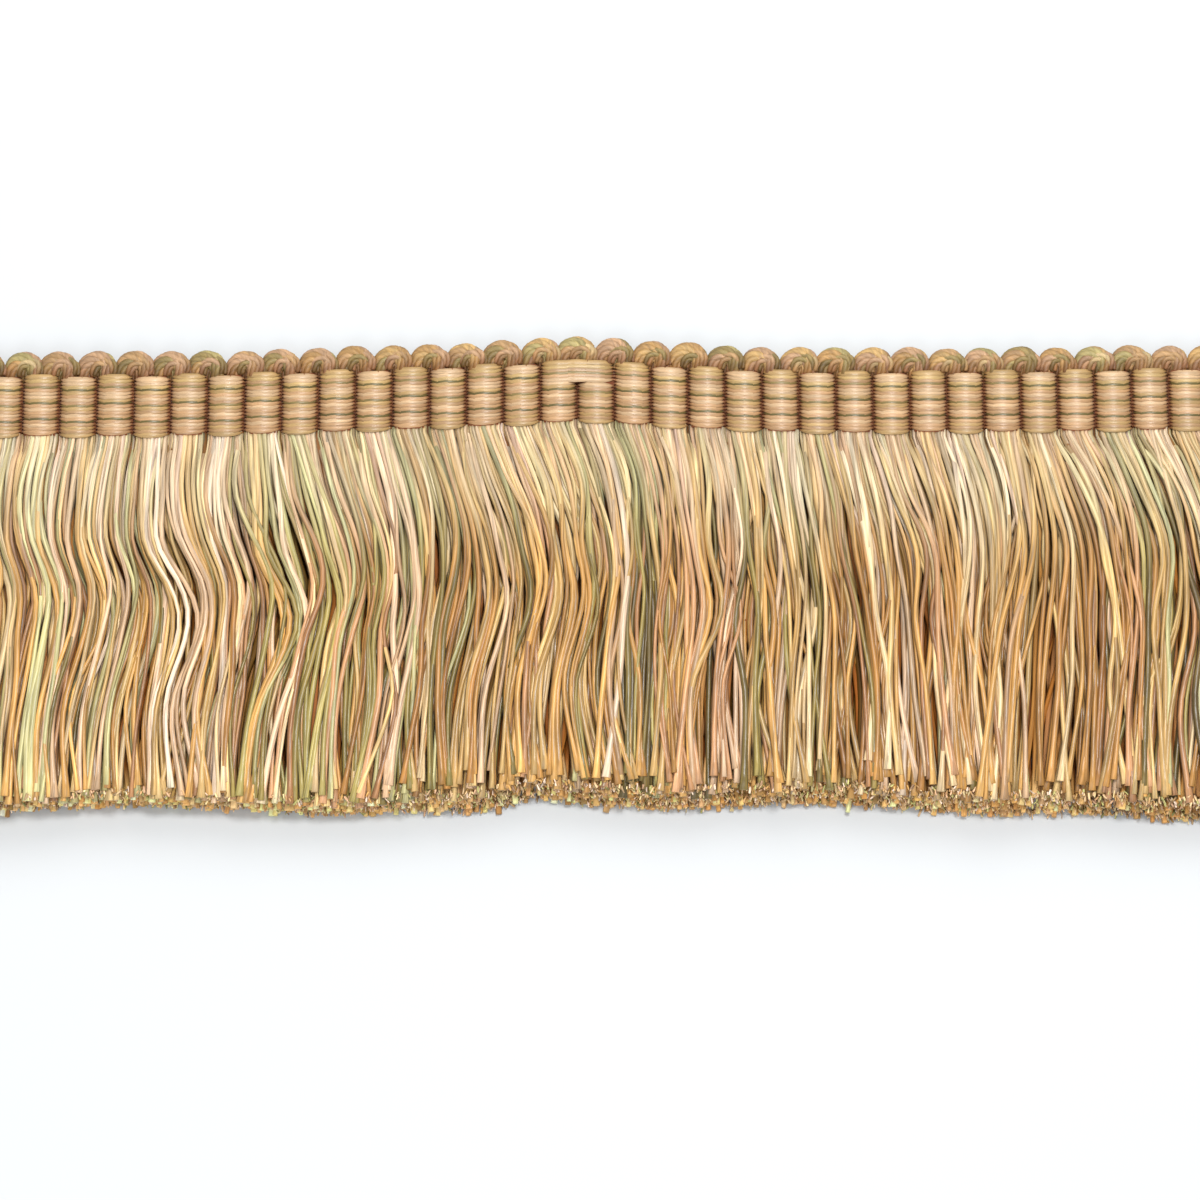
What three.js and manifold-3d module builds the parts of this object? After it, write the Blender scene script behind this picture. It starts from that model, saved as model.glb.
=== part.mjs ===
// A cut length of brush fringe: a woven rib heading, an edge of yarn loops above it and a cut skirt below it.
// Millimetres. X runs along the trim, Y across it from the skirt's tips to the loops, and Z up from the
// surface that the trim lies on. The origin is the middle of the heading's flat back.
import * as THREE from "three";
import { mergeVertices } from "three/addons/utils/BufferGeometryUtils.js";
import Module from "manifold-3d";

const wasm = await Module();
wasm.setup();

// Heading: weft bundles lie side by side as ribs, and the warp floats over them.
const ribCount = 35;
const ribPitch = 5.87;
const trimLength = ribCount * ribPitch;
const headingWidth = 10.5;
const ribHeight = 3.3;
const grooveHeight = 1.6;
const backGrooveDepth = 0.5;
const ribStations = [-1, -0.7, -0.35, 0, 0.35, 0.7]; // across half a rib, from one groove on
const headingEdgeRounding = 0.35;

// What parts one piece from the next.
const pieceGap = 0.37;

// Loop edge: each loop leaves the top of one rib and goes down into the next.
const loopHalfSpan = 1.8; // to the middle of the yarn bundle
const loopRise = 2.4;
const loopRadius = 1.5;
const loopFootRadius = 1.25;
const loopFootHeight = 1.5; // of the bundle's middle above the surface, where a loop leaves its rib
const loopEndHeight = 1.75; // and where it goes down in front of the next one
const loopTwist = THREE.MathUtils.degToRad(165);
const loopLobes = 3;
const loopSteps = 6;
const lobeDepth = 0.2; // as a share of the radius
const loopStrip = { width: 0.8, low: 0.15, high: 3.2 };

// Skirt: locks of yarn in three layers, which leave a narrow strip under the heading.
const overallWidth = 76;
const loopReach = headingWidth / 2 + pieceGap + loopRise + loopRadius;
const skirtLength = overallWidth - loopReach - headingWidth / 2 - pieceGap;
const bundleWidth = 5.35; // a rib's yarns, where they leave the heading
const fanOut = 0.28; // share of the length after which the bundles have spread into one another
const lockGap = 0.32;
const widestLock = 2.6;
const lockWander = 0.34;
const tipUnevenness = 1.3;
const skirtStrip = { width: 1.0, low: 0, high: 3.1 };
const rootDepth = 0.45; // how far the locks start inside the strip

// The layers from the surface up. floor and crown are shares of the pile's height at each depth.
const layers = [
  { name: "under", perRib: 2, floor: 0, crown: 0.3, shorter: 0, depths: [0.25, 0.6, 1] },
  { name: "middle", perRib: 2, floor: 0.37, crown: 0.63, shorter: 0.6, depths: [0.12, 0.4, 0.7, 1] },
  { name: "upper", perRib: 3, floor: 0.7, crown: 1, shorter: 1.5, depths: [0.1, 0.22, 0.36, 0.5, 0.7, 1] },
];

// How far the heading strays sideways from a straight line, along the trim.
const bowTable = [
  { at: -103, rise: -0.85 },
  { at: -62, rise: -0.6 },
  { at: -30, rise: 0.4 },
  { at: -14, rise: 1.1 },
  { at: -2, rise: 1.65 },
  { at: 9, rise: 1.0 },
  { at: 18, rise: 0.5 },
  { at: 33, rise: -0.1 },
  { at: 56, rise: -0.1 },
  { at: 80, rise: 0.15 },
  { at: 103, rise: 0.55 },
];

// How far the yarns have drifted along the trim at shares of the skirt's length: waves on the left, and a lean
// to the right over the rest.
const driftDepths = [0, 0.15, 0.3, 0.45, 0.6, 0.8, 1];
const driftColumns = ["root", "high", "bend", "belly", "low", "hem", "tip"];
const driftTable = [
  { at: -103, root: 0, high: -0.5, bend: 0.4, belly: 3.1, low: 2.0, hem: 0.0, tip: -0.3 },
  { at: -78, root: 0, high: -0.6, bend: -0.3, belly: 2.5, low: 1.9, hem: 0.0, tip: -0.3 },
  { at: -62, root: 0, high: 0.0, bend: 1.3, belly: 4.4, low: 4.1, hem: 1.9, tip: 1.3 },
  { at: -46, root: 0, high: 2.2, bend: 4.9, belly: 6.6, low: 5.1, hem: 3.5, tip: 3.2 },
  { at: -30, root: 0, high: 2.4, bend: 4.4, belly: 4.7, low: 3.5, hem: 2.2, tip: 1.9 },
  { at: -15, root: 0, high: 2.7, bend: 6.0, belly: 7.6, low: 6.6, hem: 5.4, tip: 5.1 },
  { at: 1, root: 0, high: 2.8, bend: 4.1, belly: 4.7, low: 4.1, hem: 3.8, tip: 4.1 },
  { at: 17, root: 0, high: 1.6, bend: 1.9, belly: 1.6, low: 0.6, hem: 0.0, tip: 0.0 },
  { at: 33, root: 0, high: 1.3, bend: 2.5, belly: 3.5, low: 3.8, hem: 4.1, tip: 4.4 },
  { at: 49, root: 0, high: 1.6, bend: 3.5, belly: 4.4, low: 4.4, hem: 4.1, tip: 4.1 },
  { at: 64, root: 0, high: 1.6, bend: 2.2, belly: 1.6, low: 0.6, hem: 0.0, tip: -0.3 },
  { at: 80, root: 0, high: 2.8, bend: 5.1, belly: 5.7, low: 5.4, hem: 4.1, tip: 3.5 },
  { at: 103, root: 0, high: 2.4, bend: 3.8, belly: 3.8, low: 3.2, hem: 2.2, tip: 1.9 },
];

// The pile's height above the surface at shares of the skirt's length.
const pileTable = [
  { at: 0, height: 3.0 },
  { at: 0.1, height: 4.6 },
  { at: 0.22, height: 6.8 },
  { at: 0.4, height: 8.6 },
  { at: 0.6, height: 9.0 },
  { at: 0.8, height: 8.4 },
  { at: 1, height: 7.6 },
];

// How much longer than the rest the skirt was cut, along the trim.
const cutTable = [
  { at: -103, longer: -0.3 },
  { at: -73, longer: 0.1 },
  { at: -53, longer: 0.9 },
  { at: -38, longer: 0.7 },
  { at: -23, longer: 1.9 },
  { at: -5, longer: 0.5 },
  { at: 17, longer: -0.3 },
  { at: 33, longer: -0.9 },
  { at: 49, longer: 0.5 },
  { at: 64, longer: 1.1 },
  { at: 80, longer: 0.8 },
  { at: 86, longer: 2.0 },
  { at: 103, longer: 1.8 },
];

// A smooth curve through points given by their places and values.
function curveThrough(places, values, at) {
  const last = places.length - 1;
  let i = 1;
  while (i < last && places[i] < at) i += 1;
  const slope = (n) => {
    const before = Math.max(n - 1, 0);
    const after = Math.min(n + 1, last);
    return (values[after] - values[before]) / (places[after] - places[before]);
  };
  const step = places[i] - places[i - 1];
  const t = THREE.MathUtils.clamp((at - places[i - 1]) / step, 0, 1);
  const blend = t * t * (3 - 2 * t);
  const lean = t * (1 - t) * ((1 - t) * slope(i - 1) - t * slope(i));
  return THREE.MathUtils.lerp(values[i - 1], values[i], blend) + lean * step;
}

// One column of a table at a place between its rows.
function read(table, column, at) {
  return curveThrough(table.map((row) => row.at), table.map((row) => row[column]), at);
}

// How far the yarns have drifted along the trim at any place and depth.
function driftAt(x, depth) {
  const drifts = driftColumns.map((column) => read(driftTable, column, x));
  return curveThrough(driftDepths, drifts, depth);
}

function bowAt(x) {
  return read(bowTable, "rise", x);
}

function ribMiddle(rib) {
  return (rib - (ribCount - 1) / 2) * ribPitch;
}

// Evenly spread numbers from -1 to 1 that are the same each time.
function scatter(n) {
  return 2 * ((n * 0.6180339887) % 1) - 1;
}

// Moves a geometry's points sideways, so that it follows the heading.
function followBow(geometry) {
  const position = geometry.getAttribute("position");
  for (let i = 0; i < position.count; i += 1) {
    position.setY(i, position.getY(i) + bowAt(position.getX(i)));
  }
  return geometry;
}

// A closed skin over rings of points that run the same way round.
function skinOver(rings) {
  const around = rings[0].length;
  const positions = rings.flat().flatMap((p) => [p.x, p.y, p.z]);
  const index = [];
  for (let r = 0; r < rings.length - 1; r += 1) {
    for (let i = 0; i < around; i += 1) {
      const a = r * around + i;
      const b = r * around + ((i + 1) % around);
      index.push(a, b, b + around, a, b + around, a + around);
    }
  }
  const lastRing = (rings.length - 1) * around;
  for (let i = 1; i < around - 1; i += 1) {
    index.push(0, i + 1, i);
    index.push(lastRing, lastRing + i, lastRing + i + 1);
  }
  const geometry = new THREE.BufferGeometry();
  geometry.setAttribute("position", new THREE.Float32BufferAttribute(positions, 3));
  geometry.setIndex(index);
  return geometry;
}

function solidOf(geometry) {
  const bare = geometry.clone();
  bare.deleteAttribute("normal");
  bare.deleteAttribute("uv");
  const merged = mergeVertices(bare, 1e-4);
  const mesh = new wasm.Mesh({
    numProp: 3,
    vertProperties: merged.getAttribute("position").array,
    triVerts: new Uint32Array(merged.index.array),
  });
  return new wasm.Manifold(mesh);
}

function geometryOf(solid) {
  const mesh = solid.getMesh();
  const geometry = new THREE.BufferGeometry();
  geometry.setAttribute("position", new THREE.BufferAttribute(mesh.vertProperties, 3));
  geometry.setIndex(new THREE.BufferAttribute(mesh.triVerts, 1));
  geometry.computeVertexNormals();
  return geometry;
}

function fused(geometries) {
  return geometryOf(wasm.Manifold.union(geometries.map(solidOf)));
}

// A strip along the heading's edge, between two distances from the heading's middle line.
function bowedStrip(firstX, lastX, nearY, farY, strip) {
  const length = lastX - firstX;
  const geometry = new THREE.BoxGeometry(length, farY - nearY, strip.high - strip.low, ribCount, 1, 1);
  geometry.translate((firstX + lastX) / 2, (nearY + farY) / 2, (strip.low + strip.high) / 2);
  return followBow(geometry);
}

// The heading's section across the trim at one place: flat or a little raised below, rounded edges above.
function headingSection(x, back, face) {
  const half = headingWidth / 2;
  const section = [
    [-half, back],
    [half, back],
    [half, face - headingEdgeRounding],
    [half - headingEdgeRounding, face],
    [headingEdgeRounding - half, face],
    [-half, face - headingEdgeRounding],
  ];
  return section.map(([y, z]) => new THREE.Vector3(x, y + bowAt(x), z));
}

function makeHeading() {
  const flattening = 0.92; // keeps the ribs' sides from ending upright in the grooves
  const rings = [headingSection(-trimLength / 2, backGrooveDepth, grooveHeight)];
  for (let rib = 0; rib < ribCount; rib += 1) {
    for (const across of [...ribStations.slice(1), 1]) {
      const crest = Math.sqrt(1 - flattening * across ** 2);
      const valley = Math.sqrt(1 - flattening);
      const face = grooveHeight + ((ribHeight - grooveHeight) * (crest - valley)) / (1 - valley);
      const back = across === 1 ? backGrooveDepth : 0;
      rings.push(headingSection(ribMiddle(rib) + (across * ribPitch) / 2, back, face));
    }
  }
  return skinOver(rings);
}

// One loop of twisted yarn that arches from the rib on its left to the rib on its right.
function loopBetween(rib) {
  const middle = ribMiddle(rib) + ribPitch / 2;
  const foot = headingWidth / 2 + pieceGap + bowAt(middle);
  const around = 2 * loopLobes;
  const rings = [];
  for (let step = 0; step <= loopSteps; step += 1) {
    const share = step / loopSteps;
    const angle = Math.PI * (1 - share);
    const outward = new THREE.Vector3(Math.cos(angle), Math.sin(angle), 0);
    const bundle = new THREE.Vector3(
      middle + loopHalfSpan * outward.x,
      foot + pieceGap / 2 + loopRise * outward.y,
      THREE.MathUtils.lerp(loopFootHeight, loopEndHeight, share),
    );
    const radius = THREE.MathUtils.lerp(loopFootRadius, loopRadius, outward.y);
    const ring = [];
    for (let i = 0; i < around; i += 1) {
      const turn = (2 * Math.PI * i) / around + loopTwist * share;
      const reach = radius * (i % 2 ? 1 - lobeDepth : 1);
      const point = bundle.clone().addScaledVector(outward, reach * Math.cos(turn));
      point.z += reach * Math.sin(turn);
      point.y = Math.max(point.y, headingWidth / 2 + 1.5 * pieceGap + bowAt(point.x));
      ring.push(point);
    }
    rings.push(ring);
  }
  return skinOver(rings);
}

function makeLoopEdge() {
  const loops = [];
  for (let rib = 0; rib < ribCount - 1; rib += 1) loops.push(loopBetween(rib));
  const near = headingWidth / 2 + pieceGap;
  const strip = bowedStrip(
    ribMiddle(0) + ribPitch / 2 - loopHalfSpan,
    ribMiddle(ribCount - 1) - ribPitch / 2 + loopHalfSpan,
    near,
    near + loopStrip.width,
    loopStrip,
  );
  return fused([strip, ...loops]);
}

// Where the middle of each lock of a layer lies at one depth.
function lockMiddles(layer, depth) {
  const middles = [];
  const spread = THREE.MathUtils.smoothstep(depth, 0, fanOut);
  for (let rib = 0; rib < ribCount; rib += 1) {
    for (let i = 0; i < layer.perRib; i += 1) {
      const across = (i + 0.5) / layer.perRib - 0.5;
      const rootX = ribMiddle(rib) + across * bundleWidth;
      const openX = ribMiddle(rib) + across * ribPitch;
      const wander = lockWander * depth * scatter(7 * middles.length + 3 * layer.perRib);
      middles.push(THREE.MathUtils.lerp(rootX, openX, spread) + driftAt(openX, depth) + wander);
    }
  }
  return middles;
}

// One section of a lock: a flat foot below and a ridge above.
function lockSection(middles, i, y, low, high) {
  const before = i > 0 ? middles[i - 1] : middles[i] - widestLock - lockGap;
  const after = i < middles.length - 1 ? middles[i + 1] : middles[i] + widestLock + lockGap;
  const left = Math.max((before + middles[i] + lockGap) / 2, middles[i] - widestLock / 2);
  const right = Math.min((middles[i] + after - lockGap) / 2, middles[i] + widestLock / 2);
  return [
    new THREE.Vector3(left, y, low),
    new THREE.Vector3(right, y, low),
    new THREE.Vector3((left + right) / 2, y, high),
  ];
}

function makeLocks(layer) {
  const depths = [0, ...layer.depths];
  const places = depths.map((depth) => lockMiddles(layer, depth));
  return places[0].map((_, i) => {
    const ribX = ribMiddle(Math.floor(i / layer.perRib));
    const edge = bowAt(ribX) - headingWidth / 2 - pieceGap;
    const shorter = layer.shorter + (tipUnevenness / 2) * (1 + scatter(11 * i + layer.perRib));
    const longer = read(cutTable, "longer", ribX) - shorter + bowAt(ribX);
    const rings = depths.map((depth, d) => {
      const tip = d === depths.length - 1 ? longer : 0;
      const y = d === 0 ? edge - rootDepth : edge - depth * skirtLength - tip;
      const pile = read(pileTable, "height", depth);
      return lockSection(places[d], i, y, layer.floor * pile, layer.crown * pile);
    });
    return skinOver(rings);
  });
}

function makeSkirt() {
  const near = -headingWidth / 2 - pieceGap;
  const end = trimLength / 2 - (ribPitch - bundleWidth) / 2;
  const strip = bowedStrip(-end, end, near - skirtStrip.width, near, skirtStrip);
  return fused([strip, ...layers.flatMap(makeLocks)]);
}

function yarn(color, roughness) {
  return new THREE.MeshStandardMaterial({ color, roughness, metalness: 0 });
}

function namedMesh(name, geometry, material) {
  const mesh = new THREE.Mesh(geometry, material);
  mesh.name = name;
  return mesh;
}

const fringe = new THREE.Group();
fringe.name = "brush_fringe";
fringe.add(
  namedMesh("heading", makeHeading(), yarn(0xd2a680, 0.55)),
  namedMesh("loop_edge", makeLoopEdge(), yarn(0xb9925f, 0.65)),
  namedMesh("skirt", makeSkirt(), yarn(0xd8ba86, 0.6)),
);

export default fringe;
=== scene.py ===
# A cut length of brush fringe, face up: woven rib heading, twisted loop edge and thick cut skirt.
# Sizes in the dictionaries are millimetres and turn to metres as the meshes are made.
import math
import bmesh
import bpy
import numpy as np
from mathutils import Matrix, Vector


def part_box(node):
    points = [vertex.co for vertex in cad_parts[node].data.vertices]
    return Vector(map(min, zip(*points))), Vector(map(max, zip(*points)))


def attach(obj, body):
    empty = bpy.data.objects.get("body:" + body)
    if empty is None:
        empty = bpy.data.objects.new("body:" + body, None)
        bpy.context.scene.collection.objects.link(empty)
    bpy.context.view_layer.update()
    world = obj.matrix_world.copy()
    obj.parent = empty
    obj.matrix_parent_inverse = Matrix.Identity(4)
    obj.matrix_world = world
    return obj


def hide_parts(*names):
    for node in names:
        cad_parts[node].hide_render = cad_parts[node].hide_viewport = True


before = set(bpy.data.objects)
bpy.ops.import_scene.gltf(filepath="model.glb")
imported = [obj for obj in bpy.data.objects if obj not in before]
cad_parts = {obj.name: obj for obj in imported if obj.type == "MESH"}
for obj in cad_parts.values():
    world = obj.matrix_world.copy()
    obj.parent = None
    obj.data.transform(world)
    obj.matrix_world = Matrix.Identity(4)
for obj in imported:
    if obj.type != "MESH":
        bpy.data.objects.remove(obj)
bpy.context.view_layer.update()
mm = 0.001
scene = bpy.context.scene
draw = np.random.default_rng(31)

headingLow, headingHigh = (np.array(corner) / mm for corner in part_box("heading"))

# The whole trim. Every rib carries its own warp floats, its loop and its share of the skirt.
trim = {
    "ribs": 35,
    "length": headingHigh[0] - headingLow[0],
    "headingWidth": 10.5,
    # how far the heading strays sideways from straight
    "bow": {
        "at": [-103, -62, -30, -14, -2, 9, 18, 33, 56, 80, 103],
        "rise": [-0.85, -0.6, 0.4, 1.1, 1.65, 1.0, 0.5, -0.1, -0.1, 0.15, 0.55],
    },
}
ribPitch = trim["length"] / trim["ribs"]
ribMiddles = (np.arange(trim["ribs"]) - (trim["ribs"] - 1) / 2) * ribPitch
headingHalf = trim["headingWidth"] / 2


# Weights for a smooth curve through values at some places, a row for each place asked for
def curveWeights(places, at):
    places = np.asarray(places, float)
    at = np.asarray(at, float)
    last = len(places) - 1
    i = np.clip(np.searchsorted(places, at), 1, last)
    step = places[i] - places[i - 1]
    t = np.clip((at - places[i - 1]) / step, 0, 1)
    blend = t * t * (3 - 2 * t)
    weights = np.zeros((len(at), last + 1))
    rows = np.arange(len(at))
    np.add.at(weights, (rows, i - 1), 1 - blend)
    np.add.at(weights, (rows, i), blend)
    for n, lean in ((i - 1, t * (1 - t) ** 2), (i, -(1 - t) * t ** 2)):
        before = np.maximum(n - 1, 0)
        after = np.minimum(n + 1, last)
        share = lean * step / (places[after] - places[before])
        np.add.at(weights, (rows, after), share)
        np.add.at(weights, (rows, before), -share)
    return weights


# What a curve of a dictionary, with its places under "at", gives at other places
def valueAt(curve, key, places):
    return curveWeights(curve["at"], places) @ np.array(curve[key])


def smoothStep(x, low, high):
    t = np.clip((x - low) / (high - low), 0, 1)
    return t * t * (3 - 2 * t)


def bowAt(x):
    x = np.asarray(x, float)
    return valueAt(trim["bow"], "rise", x.ravel()).reshape(x.shape)


# A screen colour as the linear numbers that shaders take
def linear(colour):
    c = np.asarray(colour, float) / 255
    return np.where(c > 0.04045, ((c + 0.055) / 1.055) ** 2.4, c / 12.92)


# Dyes, as they look in full light
dyes = {
    "cream": (246, 230, 198),
    "blush": (238, 212, 188),
    "pearl": (244, 228, 214),
    "gold": (224, 184, 116),
    "straw": (234, 210, 156),
    "ochre": (198, 154, 92),
    "rose": (212, 170, 134),
    "sage": (184, 178, 114),
    "mint": (206, 208, 160),
    "olive": (140, 130, 72),
    "tan": (196, 156, 108),
    "pale": (236, 216, 170),
    "paleMint": (220, 218, 174),
    "palePink": (240, 214, 190),
    "warpGold": (188, 152, 96),
    "warpStraw": (198, 164, 104),
    "warpTan": (184, 144, 98),
    "warpRose": (193, 150, 104),
    "warpBlush": (209, 173, 130),
    "warpGreen": (106, 92, 36),
    "warpOlive": (134, 114, 58),
    # a dark dye that is partly painted shade, for the root plies in the hollow under the loops
    "shadowUmber": (128, 84, 46),
    "cutTan": (216, 182, 138),
}
dyeDepth = 0.74  # what a dye gives back of that light


def dyeColour(name):
    return linear(dyes[name]) * dyeDepth


# Each yarn has its own strip of the bake, with its two cut ends at the strip's ends. In shares of the strip
bakeStrip = {
    "margin": 0.06,  # free at each side of the yarn's wall
    "cutEndAcross": 0.45,  # the most room that a cut end takes, across and along
    "cutEndAlong": 0.06,
    # in rooms of a cut end
    "cutEndMiddle": 1.1,
    "cutEndRadius": 0.8,
    "wallStart": 2.2,
}
yarnPattern = {"shift": 50, "cutEndRadius": 0.3}  # how far yarns start apart in the pattern, in mm


# Many yarns in one mesh. paths has (yarns, steps, 3), widths and heights (yarns, steps),
# and colours (yarns, 3) or, where they change along the yarn, (yarns, steps, 3)
def makeYarns(name, paths, widths, heights, colours, material, sides, bakeColumns, twist=0.0):
    count, steps = paths.shape[:2]
    along = np.gradient(paths, axis=1)
    along /= np.linalg.norm(along, axis=2, keepdims=True)
    across = np.cross(along, [0.0, 0.0, 1.0])
    across /= np.linalg.norm(across, axis=2, keepdims=True)
    above = np.cross(across, along)
    turn = np.arange(sides) * 2 * math.pi / sides - math.pi / 2
    ring = across[:, :, None] * (np.cos(turn)[:, None] * widths[:, :, None, None] / 2)
    ring = ring + above[:, :, None] * (np.sin(turn)[:, None] * heights[:, :, None, None] / 2)
    points = (paths[:, :, None] + ring) * mm

    yarn, step, side = np.meshgrid(np.arange(count), np.arange(steps - 1), np.arange(sides), indexing="ij")
    corner = (yarn * steps + step) * sides
    nextSide = (side + 1) % sides
    beyond = corner + sides
    walls = np.stack([corner + side, beyond + side, beyond + nextSide, corner + nextSide], -1)
    firstRing = np.arange(count)[:, None] * steps * sides + np.arange(sides)
    lastRing = firstRing[:, ::-1] + (steps - 1) * sides
    faces = walls.reshape(-1, 4).tolist() + firstRing.tolist() + lastRing.tolist()
    mesh = bpy.data.meshes.new(name)
    mesh.from_pydata(points.reshape(-1, 3).tolist(), [], faces)
    smooth = np.arange(len(faces)) < walls.size // 4
    mesh.polygons.foreach_set("use_smooth", smooth)

    # how far round and how far along the yarn each corner lies
    pieces = np.linalg.norm(np.diff(paths, axis=1), axis=2)
    lengths = np.concatenate([np.zeros((count, 1)), np.cumsum(pieces, axis=1)], axis=1)
    around = np.stack([side, side, side + 1, side + 1], -1) / sides
    level = np.stack([step, step + 1, step + 1, step], -1)
    length = lengths[yarn[..., None], level]
    offset = draw.uniform(0, yarnPattern["shift"], count)[yarn][..., None]
    yarnUv = np.stack([around + length * twist + offset, length + offset], -1).reshape(-1, 2)
    capAngle = np.arange(sides) * 2 * math.pi / sides
    capUv = np.stack([np.cos(capAngle), np.sin(capAngle)], -1)
    caps = np.tile(capUv, (2 * count, 1)) * yarnPattern["cutEndRadius"]

    # the yarn's strip of the bake
    rows = math.ceil(count / bakeColumns)
    cellX = (np.arange(count) % bakeColumns) / bakeColumns
    cellY = (np.arange(count) // bakeColumns) / rows
    capRoom = min(bakeStrip["cutEndAcross"] / bakeColumns, bakeStrip["cutEndAlong"] / rows)
    wallShare = bakeStrip["margin"] + (1 - 2 * bakeStrip["margin"]) * around
    wallX = cellX[yarn][..., None] + wallShare / bakeColumns
    wallStart = bakeStrip["wallStart"] * capRoom
    wallLength = 1 / rows - 2 * wallStart
    lengthShare = (lengths / lengths[:, -1:])[yarn[..., None], level]
    wallY = cellY[yarn][..., None] + wallStart + wallLength * lengthShare
    bakeUv = np.stack([wallX, wallY], -1).reshape(-1, 2)
    middleX = cellX + 0.5 / bakeColumns
    capMiddle = bakeStrip["cutEndMiddle"] * capRoom
    firstCap = np.stack([middleX, cellY + capMiddle], -1)
    lastCap = np.stack([middleX, cellY + 1 / rows - capMiddle], -1)
    capMiddles = np.repeat(np.concatenate([firstCap, lastCap]), sides, axis=0)
    bakeCaps = capMiddles + np.tile(capUv, (2 * count, 1)) * capRoom * bakeStrip["cutEndRadius"]
    for layerName, body, ends in (("yarn", yarnUv, caps), ("OFBake", bakeUv, bakeCaps)):
        layer = mesh.uv_layers.new(name=layerName)
        layer.data.foreach_set("uv", np.concatenate([body, ends]).ravel())
    mesh.uv_layers.active = mesh.uv_layers["yarn"]

    dye = mesh.attributes.new("dye", "FLOAT_COLOR", "POINT")
    shades = np.ones((count, steps, sides, 4))
    shades[..., :3] = colours.reshape(count, -1, 1, 3)
    dye.data.foreach_set("color", shades.ravel())
    mesh.materials.append(material)
    mesh.update()
    piece = bpy.data.objects.new(name, mesh)
    scene.collection.objects.link(piece)
    return piece


def addNode(tree, kind, **settings):
    node = tree.nodes.new(kind)
    for key, value in settings.items():
        setattr(node, key, value)
    return node


noiseSpan = (0.3, 0.7)  # what a noise pattern mostly keeps within


# Silky yarn: dyed colour, fine filaments along it, a soft gloss
def yarnMaterial(name, look):
    material = bpy.data.materials.new(name)
    material.use_nodes = True
    tree = material.node_tree
    link = tree.links.new
    shader = tree.nodes["Principled BSDF"]
    dye = addNode(tree, "ShaderNodeAttribute", attribute_name="dye")
    place = addNode(tree, "ShaderNodeUVMap", uv_map="yarn")

    filamentScale = addNode(tree, "ShaderNodeMapping")
    filamentScale.inputs["Scale"].default_value = (look["filamentsRound"], look["filamentsAlong"], 1)
    filaments = addNode(tree, "ShaderNodeTexNoise", noise_dimensions="2D")
    filaments.inputs["Scale"].default_value = 1.0
    filaments.inputs["Detail"].default_value = 3.0
    filaments.inputs["Roughness"].default_value = 0.6
    link(place.outputs["UV"], filamentScale.inputs["Vector"])
    link(filamentScale.outputs["Vector"], filaments.inputs["Vector"])

    slubScale = addNode(tree, "ShaderNodeMapping")
    slubScale.inputs["Scale"].default_value = (0.5, look["slubsAlong"], 1)
    slubs = addNode(tree, "ShaderNodeTexNoise", noise_dimensions="2D")
    slubs.inputs["Scale"].default_value = 1.0
    slubs.inputs["Detail"].default_value = 1.0
    link(place.outputs["UV"], slubScale.inputs["Vector"])
    link(slubScale.outputs["Vector"], slubs.inputs["Vector"])

    # both patterns darken the dye more than they lighten it
    shade = addNode(tree, "ShaderNodeMath", operation="MULTIPLY")
    for number, (pattern, contrast) in enumerate((
        (filaments, look["filamentContrast"]),
        (slubs, look["slubContrast"]),
    )):
        patternShade = addNode(tree, "ShaderNodeMapRange")
        patternShade.inputs["From Min"].default_value = noiseSpan[0]
        patternShade.inputs["From Max"].default_value = noiseSpan[1]
        patternShade.inputs["To Min"].default_value = 1 - contrast
        patternShade.inputs["To Max"].default_value = 1 + contrast / 2
        link(pattern.outputs["Fac"], patternShade.inputs["Value"])
        link(patternShade.outputs["Result"], shade.inputs[number])
    dyed = addNode(tree, "ShaderNodeVectorMath", operation="SCALE")
    link(dye.outputs["Color"], dyed.inputs["Vector"])
    link(shade.outputs["Value"], dyed.inputs["Scale"])
    link(dyed.outputs["Vector"], shader.inputs["Base Color"])

    gloss = addNode(tree, "ShaderNodeMapRange")
    gloss.inputs["To Min"].default_value = look["roughness"] - 0.08
    gloss.inputs["To Max"].default_value = look["roughness"] + 0.1
    link(filaments.outputs["Fac"], gloss.inputs["Value"])
    link(gloss.outputs["Result"], shader.inputs["Roughness"])

    bump = addNode(tree, "ShaderNodeBump")
    bump.inputs["Strength"].default_value = look["bump"]
    bump.inputs["Distance"].default_value = look["bumpDepth"] * mm
    link(filaments.outputs["Fac"], bump.inputs["Height"])
    link(bump.outputs["Normal"], shader.inputs["Normal"])
    shader.inputs["Sheen Weight"].default_value = look["sheen"]
    shader.inputs["Sheen Roughness"].default_value = 0.4
    shader.inputs["Specular IOR Level"].default_value = look["specular"]
    return material


# Camera and light
view = {
    "tilt": math.radians(15),
    "distance": 700,
    "seenWidth": 187.6,  # of the trim, across the picture
    "middle": (0.7, -33.05, 4.0),
}


def makeCamera():
    data = bpy.data.cameras.new("camera")
    data.sensor_width = 36
    data.lens = data.sensor_width * view["distance"] / view["seenWidth"]
    data.clip_start = 0.01
    camera = bpy.data.objects.new("camera", data)
    scene.collection.objects.link(camera)
    away = Vector((0, -math.sin(view["tilt"]), math.cos(view["tilt"])))
    camera.location = (Vector(view["middle"]) + away * view["distance"]) * mm
    camera.rotation_euler = (view["tilt"], 0, 0)
    scene.camera = camera


lamps = {
    "top": {"from": (90, 40, 760), "size": 160, "power": 4.6, "colour": (1.0, 1.0, 1.0)},
    "key": {"from": (90, 480, 560), "size": 560, "power": 3.4, "colour": (1.0, 0.985, 0.96)},
    "front": {"from": (-120, -560, 420), "size": 500, "power": 1.8, "colour": (1.0, 1.0, 1.0)},
}
lampsAim = (0, -25, 0)
studio = {"colour": (0.98, 0.99, 1.0, 1), "strength": 0.82}


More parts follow.
